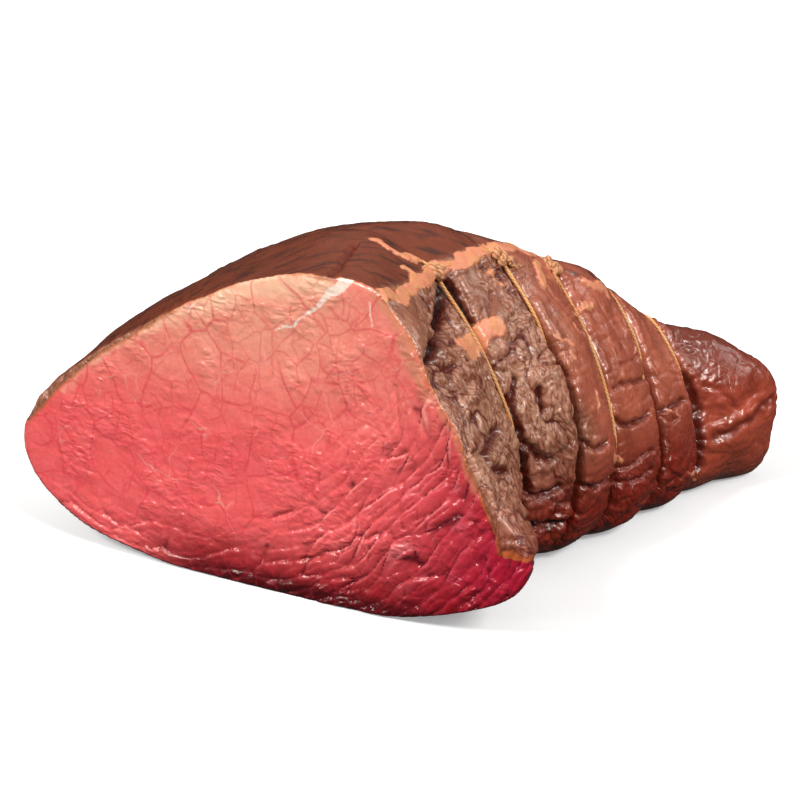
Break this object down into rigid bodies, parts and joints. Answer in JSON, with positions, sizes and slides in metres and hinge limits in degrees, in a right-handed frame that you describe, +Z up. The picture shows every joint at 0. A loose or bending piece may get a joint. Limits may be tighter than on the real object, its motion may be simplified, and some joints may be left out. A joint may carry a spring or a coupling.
{
  "type": "smoked beef joint",
  "caption": "Rolled and smoked joint of beef, tied with butcher's twine and cut across, tapering to a tip.",
  "frame": {"origin": "under the middle of the bounding box, on the surface that the joint rests on", "axes": "+Z up. The cut face looks along -Y, and the joint tapers to its tip along +Y and +X. X runs across the cut face, with the thin end of the face at -X."},
  "size_m": [0.2287, 0.2229, 0.13],
  "materials": {
    "beef": "moist, rough in places",
    "twine": "matt"
  },
  "bodies": {
    "root": {"beef": "beef", "twine_1": "twine", "twine_2": "twine", "twine_3": "twine", "twine_4": "twine", "twine_5": "twine"}
  },
  "joints": []
}
